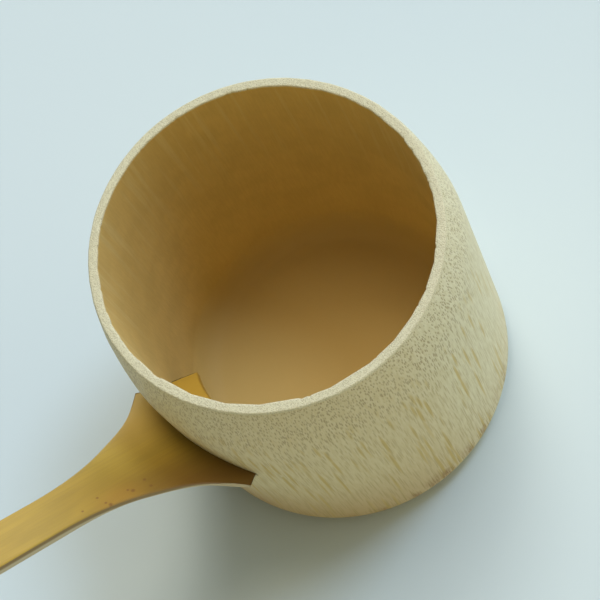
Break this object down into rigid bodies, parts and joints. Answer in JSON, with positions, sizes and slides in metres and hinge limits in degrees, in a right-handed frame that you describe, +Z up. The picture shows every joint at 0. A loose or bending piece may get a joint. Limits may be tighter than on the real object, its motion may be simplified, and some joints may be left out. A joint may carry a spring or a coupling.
{
  "type": "hishaku water dipper",
  "caption": "Bamboo tea-ceremony water dipper: a straight-sided cup cut from a culm, with a slim flared handle let into its side at an angle.",
  "frame": {"origin": "centre of the cup's flat base", "axes": "+Z up along the cup's axis towards its mouth; the handle rises towards -X; +Y is to the side, and the dipper is symmetric about the XZ plane"},
  "size_m": [0.2832, 0.056, 0.2268],
  "materials": {
    "cup_bamboo": "planed bamboo, matte",
    "handle_bamboo": "bamboo skin, low sheen",
    "peg_bamboo": "split bamboo, matte"
  },
  "bodies": {
    "root": {"cup": "cup_bamboo", "handle": "handle_bamboo", "peg": "peg_bamboo"}
  },
  "joints": []
}
